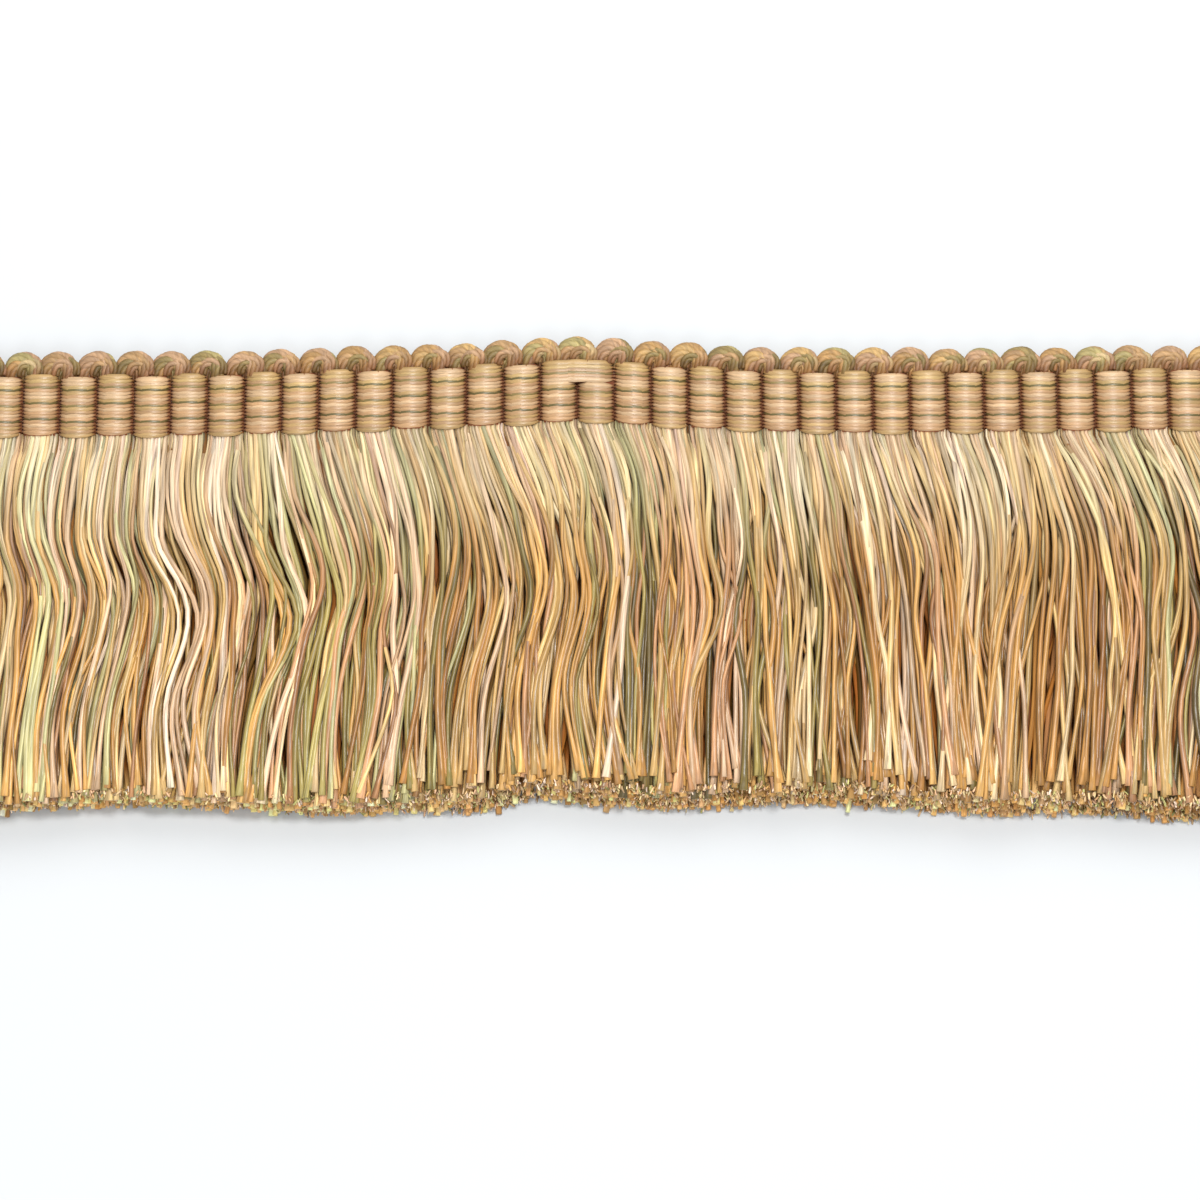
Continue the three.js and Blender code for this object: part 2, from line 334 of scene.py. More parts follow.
def makeLight():
    for name, lamp in lamps.items():
        data = bpy.data.lights.new(name, "AREA")
        data.shape = "DISK"
        data.size = lamp["size"] * mm
        data.energy = lamp["power"]
        data.color = lamp["colour"]
        lampObject = bpy.data.objects.new(name, data)
        scene.collection.objects.link(lampObject)
        lampObject.location = Vector(lamp["from"]) * mm
        aim = Vector(lampsAim) * mm - lampObject.location
        lampObject.rotation_euler = aim.to_track_quat("-Z", "Y").to_euler()
    world = bpy.data.worlds.new("studio")
    world.use_nodes = True
    background = world.node_tree.nodes["Background"]
    background.inputs["Color"].default_value = studio["colour"]
    background.inputs["Strength"].default_value = studio["strength"]
    scene.world = world
    scene.view_settings.view_transform = "Standard"


# The floor is darker near the trim and painted lighter further off: painted light that keeps the far floor
# white where the lamps give less light
floorLook = {
    "halfSize": 3000,
    "below": 0.02,
    "near": (0.464, 0.479, 0.491, 1),
    # painted light: the far floor's colour, pale to make up for the weaker light there
    "far": (0.95, 0.96, 0.97, 1),
    "paintedLightRamp": (200, 900),
    "roughness": 0.9,
}


def makeFloor():
    floorShape = bmesh.new()
    halfSize = floorLook["halfSize"] * mm
    bmesh.ops.create_grid(floorShape, x_segments=1, y_segments=1, size=halfSize)
    bmesh.ops.translate(floorShape, verts=floorShape.verts, vec=(0, 0, -floorLook["below"] * mm))
    mesh = bpy.data.meshes.new("floor")
    floorShape.to_mesh(mesh)
    floorShape.free()
    material = bpy.data.materials.new("pale_floor")
    material.use_nodes = True
    tree = material.node_tree
    shader = tree.nodes["Principled BSDF"]
    place = addNode(tree, "ShaderNodeTexCoord")
    away = addNode(tree, "ShaderNodeVectorMath", operation="LENGTH")
    # painted light: the floor's colour turns lighter away from the trim
    paintedLightRamp = addNode(tree, "ShaderNodeMapRange", interpolation_type="SMOOTHSTEP")
    paintedLightRamp.inputs["From Min"].default_value = floorLook["paintedLightRamp"][0] * mm
    paintedLightRamp.inputs["From Max"].default_value = floorLook["paintedLightRamp"][1] * mm
    colour = addNode(tree, "ShaderNodeMixRGB")
    colour.inputs["Color1"].default_value = floorLook["near"]
    colour.inputs["Color2"].default_value = floorLook["far"]
    tree.links.new(place.outputs["Object"], away.inputs[0])
    tree.links.new(away.outputs["Value"], paintedLightRamp.inputs["Value"])
    tree.links.new(paintedLightRamp.outputs["Result"], colour.inputs["Fac"])
    tree.links.new(colour.outputs["Color"], shader.inputs["Base Color"])
    shader.inputs["Roughness"].default_value = floorLook["roughness"]
    mesh.materials.append(material)
    floor = bpy.data.objects.new("floor", mesh)
    scene.collection.objects.link(floor)


# Heading: a ground of weft ribs, and two sets of warp threads that float over every other rib
heading = {
    "covered": 0.6,  # of its width, by the feet of the loops
    "crest": 3.3,
    "groove": 1.25,
    "back": 0.0,
    "edgeRoom": 0.15,  # between the outer floats and the heading's edges
    "floatThickness": 0.1,
    "risingThickness": 0.8,  # the share of it that is left where a float comes up out of a groove
    "flattening": 0.97,
    "greenShare": 0.64,  # of a normal float's width
    "setOffset": 0.24,
    "tooth": 0.05,  # a float's width in the groove, as a share
    "toothPower": 3.2,  # the higher, the later a float narrows
    "overlap": 2.3,
    # near the groove a thread under a rib comes up to a share of its height, later with a higher power
    "underRise": {"share": 0.8, "power": 8},
    "shade": (0.85, 0.94),
    # painted shade: a float's colour is darkened towards this where it dives into the groove
    "grooveShade": (0.62, 0.36, 0.2),  # a float's colour where it dives into the groove
    "dive": (0.72, 0.98),  # where that begins and is full, from the rib's middle to the groove
    "wobble": 0.018,
    "drawnUp": (0.55, 0.2),  # how far the threads bend towards the loops as they dive
    # where the top threads run on over a groove
    "splice": {"rib": 17, "floats": 6, "reach": 0.2, "sag": 0.12, "bend": 0.1},
    "stations": [0.03, 0.1, 0.25, 0.5, 0.75, 0.9, 0.97],  # along a rib's pitch
    "ground": {"inset": 0.2, "back": 0.32, "grooveBelow": 0.35, "stepsPerRib": 8, "rows": 6},
    "sides": 6,
    "bakeColumns": 32,
    # dyes of the two sets of floats, from the loops down to the skirt
    "odd": ["warpGold", "warpStraw", "warpTan", "warpOlive",
            "warpRose", "warpBlush", "warpBlush", "warpGold", "warpGreen",
            "warpRose", "warpBlush", "warpRose", "warpTan", "warpGreen",
            "warpRose", "warpBlush", "warpRose", "warpRose"],
    "even": ["warpBlush", "warpBlush", "warpStraw", "warpGreen",
             "warpGold", "warpRose", "warpBlush", "warpRose", "warpOlive",
             "warpGold", "warpTan", "warpBlush", "warpRose", "warpGreen",
             "warpTan", "warpGold", "warpTan", "warpGold"],
}


# A rib's height above the groove at places from -1 to 1 across it
def ribRound(across):
    flattening = heading["flattening"]
    valley = math.sqrt(1 - flattening)
    return (np.sqrt(1 - flattening * across ** 2) - valley) / (1 - valley)


def ribTop(across):
    return heading["groove"] + (heading["crest"] - heading["groove"]) * ribRound(across)


def drawnUp(across):
    dip, curve = heading["drawnUp"]
    return dip * (1 - ribRound(across)) + curve * across ** 2


def makeGround(material):
    spec = heading["ground"]
    columns = trim["ribs"] * spec["stepsPerRib"]
    ground = bmesh.new()
    face = bmesh.ops.create_grid(ground, x_segments=columns, y_segments=spec["rows"], size=0.5)["verts"]
    back = bmesh.ops.create_grid(ground, x_segments=columns, y_segments=spec["rows"], size=0.5)["verts"]
    gridWidth = max(corner.co.x for corner in face) * 2
    width = trim["headingWidth"] - spec["inset"] - heading["covered"]
    stretch = (trim["length"] / gridWidth, width / gridWidth, 1)
    bmesh.ops.scale(ground, verts=face + back, vec=stretch)
    low = heading["groove"] - spec["grooveBelow"]
    high = heading["crest"] - heading["floatThickness"]
    for corner in face + back:
        across = np.array(2 * ((corner.co.x / ribPitch + 0.5) % 1) - 1)
        corner.co.y += float(bowAt(corner.co.x)) + float(drawnUp(across)) - heading["covered"] / 2
        corner.co.z = low + (high - low) * float(ribRound(across))
    for corner in back:
        corner.co.z = spec["back"]
    rims = [edge for edge in ground.edges if edge.is_boundary]
    bmesh.ops.bridge_loops(ground, edges=rims)
    bmesh.ops.recalc_face_normals(ground, faces=ground.faces)
    bmesh.ops.scale(ground, verts=ground.verts, vec=(mm, mm, mm))
    mesh = bpy.data.meshes.new("heading_ground")
    ground.to_mesh(mesh)
    ground.free()
    mesh.polygons.foreach_set("use_smooth", [True] * len(mesh.polygons))
    mesh.materials.append(material)
    piece = bpy.data.objects.new("heading_ground", mesh)
    scene.collection.objects.link(piece)
    return piece


def makeFloats(material):
    stations = np.array(heading["stations"])
    places = (np.arange(trim["ribs"])[:, None] + stations).ravel() - trim["ribs"] / 2
    across = np.tile(2 * stations - 1, trim["ribs"])
    rib = np.repeat(np.arange(trim["ribs"]), len(stations))
    over = ribTop(across) - heading["floatThickness"] / 2
    underRise = heading["underRise"]
    rise = heading["groove"] * np.abs(across) ** underRise["power"] * underRise["share"]
    under = heading["back"] + heading["floatThickness"] / 2 + rise
    narrowing = 1 - (1 - heading["tooth"]) * np.abs(across) ** heading["toothPower"]
    dive = smoothStep(np.abs(across), *heading["dive"])[:, None]
    splice = heading["splice"]
    nearSplice = np.abs(places - (splice["rib"] - trim["ribs"] / 2)) < splice["reach"]

    thin = [dye in ("warpGreen", "warpOlive") for dye in heading["odd"]]
    shares = np.where(thin, heading["greenShare"], 1.0)
    floatRoom = trim["headingWidth"] - 2 * heading["edgeRoom"] - heading["covered"]
    slotEdges = np.concatenate([[0], np.cumsum(shares)]) * floatRoom / shares.sum()
    slotMiddles = (slotEdges[1:] + slotEdges[:-1]) / 2
    slotWidths = np.diff(slotEdges)
    paths = []
    widths = []
    colours = []
    for parity, names in enumerate((heading["odd"], heading["even"])):
        for slot, dye in enumerate(names):
            raised = rib % 2 == parity
            bridged = np.zeros(len(rib), bool)
            if slot < splice["floats"]:
                raised = np.where(rib == splice["rib"], parity == 0, raised)
                bridged = nearSplice & (parity == 0)
            y = headingHalf - heading["edgeRoom"] - heading["covered"] - slotMiddles[slot]
            y += heading["setOffset"] * (1 if parity == 0 else -1)
            wobble = draw.normal(0, heading["wobble"], trim["ribs"])[rib]
            height = np.where(raised, over, under)
            height = np.where(bridged, over.max() - splice["sag"], height)
            x = places * ribPitch
            bent = np.where(bridged, splice["bend"], drawnUp(across))
            paths.append(np.stack([x, y + wobble + bowAt(x) + bent, height], -1))
            widths.append(slotWidths[slot] * np.where(bridged, 1, narrowing) * heading["overlap"])
            whole = dyeColour(dye) * draw.uniform(*heading["shade"])
            # painted shade in the groove, none where the floats bridge the splice
            paintedGrooveShade = dive * (1 - np.array(heading["grooveShade"])) * ~bridged[:, None]
            colours.append(whole * (1 - paintedGrooveShade))
    paths = np.array(paths)
    widths = np.array(widths)
    heights = np.full(widths.shape, heading["floatThickness"])
    heights[:, ::len(stations)] *= heading["risingThickness"]
    return makeYarns(
        "warp_floats", paths, widths, heights, np.array(colours), material,
        heading["sides"], heading["bakeColumns"],
    )


# Loop edge: twisted plies that leave one rib and go down into the next, round a finer strand inside
loops = {
    "outer": {
        "halfSpan": 1.95, "rise": 2.8, "shift": -0.1, "foot": -0.35, "tuck": 0.8,
        "footHeight": 1.5, "endHeight": 1.75, "ring": 1.0,
        "plies": 8, "plyWidth": 1.18, "coreWidth": 1.6, "steps": 20, "twist": math.radians(170),
        "colours": ["gold", "tan", "sage", "rose", "gold", "rose", "olive", "ochre"],
    },
    "inner": {
        "halfSpan": 1.6, "rise": 1.75, "shift": 1.0, "foot": 0.2, "tuck": 0.35,
        "footHeight": 2.3, "endHeight": 2.6, "ring": 0.5,
        "plies": 4, "plyWidth": 0.86, "coreWidth": 0.8, "steps": 16, "twist": math.radians(210),
        "colours": ["tan", "rose", "straw", "olive"],
    },
    # the root plies fill the hollow under the loops; their dark dyes are partly painted shade
    "root": {
        "halfSpan": 0.5, "rise": 1.3, "shift": 0.3, "foot": -0.35, "tuck": 0.8,
        "footHeight": 1.5, "endHeight": 1.7, "ring": 0.4,
        "plies": 4, "plyWidth": 0.6, "coreWidth": 0.7, "steps": 8, "twist": math.radians(90),
        "colours": ["shadowUmber", "ochre", "shadowUmber", "olive"],
    },
    "overrun": 0.16,  # what is tucked under the heading at each foot, as a share of the loop
    "footTightness": 0.88,
    "fullness": 0.68,  # under 1 the arch is squarer
    # how the loops differ: where they stand, how large they are and how far they lean
    "strays": 0.1,
    "size": (0.93, 1.05),
    "lean": (0.15, 0.15),
    # every ply is partly dyed as the base, and has painted shade that darkens it towards the feet
    "base": "tan",
    "baseShare": 0.35,
    "shade": (0.82, 1.08),
    "crownShade": 0.84,
    "footShade": (0.5, 0.36, 0.26),
    "footShadePower": 1.5,
    "floorGap": 0.05,
    "sides": 6,
    "bakeColumns": 34,
    "filamentTwist": 0.35,
}


def loopPaths(spec):
    overrun = loops["overrun"]
    share = np.linspace(-overrun, 1 + overrun, spec["steps"])
    angle = math.pi * (1 - np.clip(share, 0, 1))
    beyond = np.maximum(np.maximum(-share, share - 1), 0) / overrun * spec["tuck"]
    tightness = 1 - (1 - loops["footTightness"]) * (1 - np.sin(angle))
    # painted shade, darker towards the feet where the plies go under the heading
    dive = ((1 - np.sin(angle)) ** loops["footShadePower"])[:, None]
    shade = loops["crownShade"] * (1 - dive * (1 - np.array(loops["footShade"])))
    base = dyeColour(loops["base"]) * loops["baseShare"]
    paths = []
    widths = []
    colours = []
    for rib in range(trim["ribs"] - 1):
        middle = ribMiddles[rib] + ribPitch / 2 + spec["shift"] + draw.normal(0, loops["strays"])
        foot = headingHalf + spec["foot"] + float(bowAt(middle))
        size = draw.uniform(*loops["size"])
        lean = draw.normal(*loops["lean"])
        rest = draw.uniform(0, 2 * math.pi)
        palette = draw.permutation(spec["colours"])
        for ply in range(spec["plies"] + 1):
            core = ply == spec["plies"]
            around = rest + 2 * math.pi * ply / spec["plies"] + spec["twist"] * share
            ring = 0 if core else spec["ring"]
            outward = ring * np.cos(around) * tightness
            x = middle + np.cos(angle) * (spec["halfSpan"] * size + outward) + lean * np.sin(angle)
            y = foot + np.sin(angle) ** loops["fullness"] * (spec["rise"] * size + outward) - beyond
            climb = (spec["endHeight"] - spec["footHeight"]) * np.clip(share, 0, 1)
            z = spec["footHeight"] + climb - beyond + ring * np.sin(around) * tightness
            width = (spec["coreWidth"] if core else spec["plyWidth"]) * tightness
            z = np.maximum(z, width / 2 + loops["floorGap"])
            paths.append(np.stack([x, y, z], -1))
            widths.append(width)
            own = dyeColour(palette[ply // 2]) * (1 - loops["baseShare"])
            colours.append((own + base) * draw.uniform(*loops["shade"]) * shade)
    return np.array(paths), np.array(widths), np.array(colours)


def makeLoops(name, spec, material):
    paths, widths, colours = loopPaths(spec)
    return makeYarns(
        name, paths, widths, widths, colours, material,
        loops["sides"], loops["bakeColumns"], loops["filamentTwist"],
    )


# Skirt: yarns in layers that leave the ribs as flat tufts and fan into one thick brush
skirt = {
    "length": 60.65,
    "edgeGap": 0.3,  # between the heading's edge and where the length starts
    # levels are shares of the pile's height. A layer's tint and its level shade are painted shade that
    # darkens the deeper yarns, with a little painted light on the topmost level. A yarn's tip has its own
    # tint, tone and flare
    "under": {
        "levels": [0.06, 0.19, 0.33, 0.48], "levelSpread": 0.075, "paintedLevelShade": [1, 1, 1, 1],
        "perRib": 5, "sides": 5, "steps": 13, "width": 1.3, "height": 1.25,
        "tint": (0.74, 0.44, 0.24), "rootShade": 0.35, "clearness": 0,
        "tipTint": (2.4, 2.35, 2.25), "tipTone": (0.4, 1.2), "tipWash": 0.65,
        "tipJitter": 0.35, "tipFlare": -0.3,
    },
    "middle": {
        "levels": [0.6, 0.71], "levelSpread": 0.04, "paintedLevelShade": [0.95, 1.05],
        "perRib": 7, "sides": 5, "steps": 15, "width": 1.0, "height": 0.8,
        "tint": (0.7, 0.48, 0.29), "rootShade": 0.55, "clearness": 0,
        "tipTint": (1.95, 1.95, 1.95), "tipTone": (0.45, 1.2), "tipWash": 0.5,
        "tipJitter": 0.6, "tipFlare": 0.1,
    },
    "face": {
        "levels": [0.82, 0.9, 0.97], "levelSpread": 0.015, "paintedLevelShade": [0.82, 0.95, 1.06],
        "perRib": 7, "sides": 5, "steps": 25, "width": 0.92, "height": 0.7,
        "tint": (1, 1, 1), "rootShade": 1, "clearness": 1,
        "tipTint": (1.2, 1.2, 1.2), "tipTone": (0.85, 1.1), "tipWash": 0,
        "tipJitter": 0.8, "tipFlare": 0.5,
    },
    "bakeColumns": 120,
    "filamentTwist": 0.02,
    # the root: a flat tuft nearly as wide as its rib, which has fanned out at a share of the length
    "bundleWidth": 5.55,
    "stagger": 0.25,  # every other layer one way, the rest the other way, in shares of a yarn's room
    "placeJitter": 0.02,
    "fanOut": 0.3,
    "rootInside": 1.2,
    "rootDrop": 0.46,
    "rootSqueeze": 1.04,
    "squeezeEnds": 0.3,
    "riseEnds": 0.09,
    "stepPower": 1.08,  # over 1, a yarn's steps are shorter near the root
    "widthRange": (0.68, 1.22),
    "heightRange": (0.85, 1.1),
    "floorGap": 0.02,
    "pile": {"at": [0, 0.1, 0.22, 0.4, 0.6, 0.8, 1], "height": [3.0, 4.6, 6.8, 8.6, 9.0, 8.4, 7.6]},
    "cut": {
        "at": [-103, -83, -72, -57.5, -48, -40, -30, -23, -14, -5.5, 2.5,
               11.5, 21, 32, 44, 53, 62.5, 70.5, 78.5, 85.5, 101.5],
        "longer": [0.1, -1.3, -1.7, -0.9, 0.1, 0.3, 0.35, 0.75, -0.8, 0.6, 0.8,
                   0.5, -0.35, -1.3, -0.45, -0.2, 0.4, 0.4, 0.8, 1.5, 1.3],
    },
    "topShorter": 1.3,
    "tuftShorter": 2.7,
    "tipJitterLimits": (-0.8, 2.2),
    "tipStart": 0.93,
    # how much of that there is along the trim
    "shorterAt": {"at": [-103, -42, -20, 103], "share": [0.25, 0.35, 1, 1]},
    # how the colour changes from the root to the tip: pale, then warm and deep; partly the dye's own
    # change, partly painted shade where the pile slopes away from the light
    "depthTintAndShade": {
        "at": [0, 0.2, 0.45, 0.75, 1],
        "red": [0.88, 0.89, 0.8, 0.84, 0.92],
        "green": [0.84, 0.85, 0.66, 0.7, 0.8],
        "blue": [0.86, 0.8, 0.46, 0.51, 0.64],
    },
    # where the inner layers come out of the shade of the root
    "rootShadeEnds": (0.02, 0.2),
    # how much of a yarn's own dye is lost in the pale first part of the skirt
    "pale": {
        "at": [0, 0.16, 0.42, 1], "share": [0.44, 0.36, 0.04, 0.0],
        "dyes": ["pale", "pale", "paleMint", "palePink"],
    },
    # the yarns that keep more of their own hue all the way down
    "clear": {"dyes": ["pearl", "mint", "blush"], "share": 0.5, "tint": (0.86, 0.78, 0.68)},
    # the yarns' depth of shade, and how much more a deep one takes from green and blue
    "shade": {"range": (0.6, 1.2), "power": (1, 1.28, 1.8)},
    # painted shade along the trim, darker towards the right end
    "paintedShadeAlong": {"at": [-103, -30, 10, 103], "share": [1.04, 1.02, 0.94, 0.87]},
    "brightest": 0.8,
    # at the two cut sides the inner yarns show, and between these depths lose their layer's painted shade
    # to turn as pale as the others
    "cutSide": {"depths": (4, 1), "shade": 0.8},
    # how the yarns wander: each, in bunches, and in the tufts of the ribs
    "wander": 0.36,
    "bunchWander": 0.45,
    "tuftSway": 0.35,
    "newBunch": 0.36,  # how likely a yarn is to start another bunch
    "lift": {"own": 0.1, "bunch": 0.2},
    "lean": {"own": 0.5, "bunch": 0.85, "reach": 0.2},
    "swayAt": {"at": [-103, -60, -30, 10, 103], "share": [0.85, 1.05, 1.2, 1, 1]},
    "crossing": {"at": [-103, -20, 20, 103], "slant": [0.08, 0.12, 0.25, 0.27]},
    "colours": {
        "cream": 0.1, "straw": 0.15, "gold": 0.24, "blush": 0.1, "pearl": 0.03, "rose": 0.09,
        "ochre": 0.17, "mint": 0.035, "sage": 0.075, "olive": 0.065,
    },
    # the same towards the left end, which is less golden
    "leftColours": {
        "cream": 0.11, "straw": 0.17, "gold": 0.15, "blush": 0.13, "pearl": 0.06, "rose": 0.08,
        "ochre": 0.12, "mint": 0.09, "sage": 0.1, "olive": 0.08,
    },
    "leftShare": {"at": [-103, -40, 5, 103], "share": [1, 0.9, 0.1, 0]},
    "greens": ["mint", "sage", "olive"],
    # where the green yarns come thicker, along the trim
    "greenAt": {
        "at": [-103, -87, -79.5, -71.5, -51.5, -44, -36, -24, -18.5, -8.5,
               1.5, 9.5, 21, 33, 43, 52.5, 70.5, 84.5, 92.5, 101.5],
        "share": [0.6, 0.7, 1.1, 0.7, 0.6, 1.2, 0.8, 1.3, 0.8, 0.4,
                  2.2, 0.6, 0.8, 1.8, 0.9, 0.5, 0.3, 2.8, 1.8, 0.8],
    },
    "sameAsNeighbour": 0.38,
}

# How far the yarns have drifted along the trim at shares of the skirt's length
drift = {
    "depths": [0, 0.15, 0.3, 0.45, 0.6, 0.8, 1],
    "at": [-103, -77.5, -61.5, -46, -30, -15.5, 0.5, 16.5, 32, 48, 62.5, 78.5, 101.5],
    "root": [0] * 13,
    "high": [-0.5, -0.6, 0.0, 2.2, 2.4, 2.7, 2.8, 1.6, 1.3, 1.6, 1.6, 2.8, 2.4],
    "bend": [0.4, -0.3, 1.3, 4.9, 4.4, 6.0, 4.1, 1.9, 2.5, 3.5, 2.2, 5.1, 3.8],
    "belly": [3.1, 2.5, 4.4, 6.6, 4.7, 7.6, 4.7, 1.6, 3.5, 4.4, 1.6, 5.7, 3.8],
    "low": [2.0, 1.9, 4.1, 5.1, 3.5, 6.6, 4.1, 0.6, 3.8, 4.4, 0.6, 5.4, 3.2],
    "hem": [0.0, 0.0, 1.9, 3.5, 2.2, 5.4, 3.8, 0.0, 4.1, 4.1, 0.0, 4.1, 2.2],
    "tip": [-0.3, -0.3, 1.3, 3.2, 1.9, 5.1, 4.1, 0.0, 4.4, 4.1, -0.3, 3.5, 1.9],
}


def driftAt(x, depths):
    columns = np.array([drift[name] for name in ("root", "high", "bend", "belly", "low", "hem", "tip")])
    atPlaces = curveWeights(drift["at"], x) @ columns.T
    return atPlaces @ curveWeights(drift["depths"], depths).T


# Smooth sideways wandering that starts from nothing at the root, a row for each yarn
def wandering(count, depths, size):
    knots = np.array([0, 0.18, 0.36, 0.55, 0.75, 1.0])
    swing = np.array([0, 0.6, 1.0, 1.1, 1.1, 1.3]) * size
    return (draw.normal(0, 1, (count, len(knots))) * swing) @ curveWeights(knots, depths).T


# Where the skirt's length starts
def skirtEdge(x):
    return bowAt(x) - headingHalf - skirt["edgeGap"]


# One layer's courses, widths and heights, and each yarn's own place along the trim
def skirtCourses(spec, number, depths):
    level = spec["levels"][number]
    shown = np.clip(depths, 0, 1)
    count = trim["ribs"] * spec["perRib"]
    rib = np.repeat(np.arange(trim["ribs"]), spec["perRib"])
    place = np.tile((np.arange(spec["perRib"]) + 0.5) / spec["perRib"] - 0.5, trim["ribs"])
    stagger = skirt["stagger"] if number % 2 else -skirt["stagger"]
    place = place + stagger / spec["perRib"] + draw.normal(0, skirt["placeJitter"], count)
    rootX = ribMiddles[rib] + place * skirt["bundleWidth"]
    openX = ribMiddles[rib] + place * ribPitch
    bunch = np.cumsum(draw.random(count) < skirt["newBunch"])
    bunches = bunch[-1] + 1
    sway = valueAt(skirt["swayAt"], "share", openX)[:, None]
    own = wandering(count, shown, skirt["wander"]) * sway
    shared = wandering(bunches, shown, skirt["bunchWander"])[bunch] * sway
    tuft = wandering(trim["ribs"], shown, skirt["tuftSway"])[rib]
    lean = draw.normal(0, skirt["lean"]["own"], count)
    lean = lean + draw.normal(0, skirt["lean"]["bunch"], bunches)[bunch]
    slants = valueAt(skirt["crossing"], "slant", openX)
    slant = (lean * slants)[:, None] * shown * skirt["length"] * skirt["lean"]["reach"]
    spread = smoothStep(shown, 0, skirt["fanOut"])
    x = rootX[:, None] * (1 - spread) + openX[:, None] * spread
    x = x + driftAt(openX, shown) + own + shared + tuft + slant

    slope = valueAt(skirt["shorterAt"], "share", openX)
    jitter = draw.normal(0, spec["tipJitter"], count).clip(*skirt["tipJitterLimits"])
    shorter = skirt["topShorter"] * level * slope + jitter
    shorter = shorter + draw.uniform(0, skirt["tuftShorter"], trim["ribs"])[rib] * level ** 2 * slope
    reach = skirt["length"] + valueAt(skirt["cut"], "longer", openX) - shorter
    y = skirtEdge(rootX)[:, None] - depths * reach[:, None]

    lift = wandering(count, shown, skirt["lift"]["own"])
    lift = lift + wandering(bunches, shown, skirt["lift"]["bunch"])[bunch]
    rootHeight = ribTop(2 * place.clip(-0.5, 0.5)) - skirt["rootDrop"]
    rising = smoothStep(shown, 0, skirt["riseEnds"])
    ownLevel = (level + draw.uniform(-1, 1, count) * spec["levelSpread"])[:, None]
    pile = valueAt(skirt["pile"], "height", shown)
    z = level * rootHeight[:, None] * (1 - rising) + ownLevel * pile * rising + lift

    squeeze = skirt["rootSqueeze"]
    growth = squeeze + (1 - squeeze) * smoothStep(shown, 0, skirt["squeezeEnds"])
    flare = 1 + spec["tipFlare"] * smoothStep(shown, skirt["tipStart"], 1)
    widths = spec["width"] * draw.uniform(*skirt["widthRange"], count)[:, None] * growth * flare
    heights = spec["height"] * draw.uniform(*skirt["heightRange"], count)[:, None] * growth
    z = np.maximum(z, heights / 2 + skirt["floorGap"])
    return np.stack([x, y, z], -1), widths, heights, openX


# The name of each yarn's dye, often the same as its neighbour's
def pickDyes(openX):
    names = np.array(list(skirt["colours"]))
    rightOdds = np.array(list(skirt["colours"].values()))
    leftOdds = np.array(list(skirt["leftColours"].values()))
    left = valueAt(skirt["leftShare"], "share", openX)[:, None]
    odds = rightOdds * (1 - left) + leftOdds * left
    greens = np.maximum(valueAt(skirt["greenAt"], "share", openX), 0)[:, None]
    odds = odds * np.where(np.isin(names, skirt["greens"]), greens, 1)
    odds = np.cumsum(odds, axis=1) / odds.sum(axis=1, keepdims=True)
    picks = (odds < draw.random(len(openX))[:, None]).sum(axis=1)
    same = draw.random(len(openX)) < skirt["sameAsNeighbour"]
    for i in range(1, len(openX)):
        if same[i]:
            picks[i] = picks[i - 1]
    return names[picks]


# One layer's colours, for each yarn from its root to its tip
def skirtColours(spec, number, depths, openX):
    count = len(openX)
    shown = np.clip(depths, 0, 1)
    nearTip = smoothStep(shown, skirt["tipStart"], 1)[:, None]
    # painted shade along the yarns, together with the dye's own change
    table = skirt["depthTintAndShade"]
    channels = np.array([table["red"], table["green"], table["blue"]])
    depthTintsAndShade = curveWeights(table["at"], shown) @ channels.T
    sideTints = depthTintsAndShade * skirt["cutSide"]["shade"]
    # painted shade of the inner layers, giving way to the tip's own tint near the cut
    layerShadeAndTipTints = np.array(spec["tint"]) * (1 - nearTip) + np.array(spec["tipTint"]) * nearTip
    outOfShade = smoothStep(shown, *skirt["rootShadeEnds"])[:, None]
    depthTintsAndShade = depthTintsAndShade * layerShadeAndTipTints * (spec["rootShade"] + (1 - spec["rootShade"]) * outOfShade)

    picked = pickDyes(openX)
    dyed = np.array([dyeColour(name) for name in picked])[:, None]
    shade = draw.uniform(*skirt["shade"]["range"], count) * valueAt(skirt["paintedShadeAlong"], "share", openX)
    shade = shade[:, None, None]
    shade = np.minimum(shade, 1) ** np.array(skirt["shade"]["power"]) * np.maximum(shade, 1)
    washed = valueAt(skirt["pale"], "share", shown)[:, None]
    shade = shade * (1 - washed) + washed
    paleDyes = np.array([dyeColour(name) for name in skirt["pale"]["dyes"]])
    paleDyes = paleDyes[draw.integers(0, len(paleDyes), count)][:, None]
    dyed = dyed * (1 - washed) + paleDyes * washed

    clear = np.isin(picked, skirt["clear"]["dyes"]) * skirt["clear"]["share"]
    clear = clear[:, None, None] * (1 - nearTip) * spec["clearness"]
    tints = depthTintsAndShade * (1 - clear) + np.array(skirt["clear"]["tint"]) * clear
    sideBand = trim["length"] / 2 - np.array(skirt["cutSide"]["depths"])
    atSide = smoothStep(np.abs(openX), *sideBand)[:, None, None]
    tints = tints * (1 - atSide) + sideTints * atSide
    tipWash = nearTip * spec["tipWash"]
    dyed = dyed * (1 - tipWash) + dyeColour("cutTan") * tipWash
    tone = draw.uniform(*spec["tipTone"], count)[:, None, None]
    # painted shade by level, and the tip's own tone
    tipShade = (1 - nearTip * (1 - tone)) * spec["paintedLevelShade"][number]
    return np.minimum(dyed * shade * tints * tipShade, skirt["brightest"])


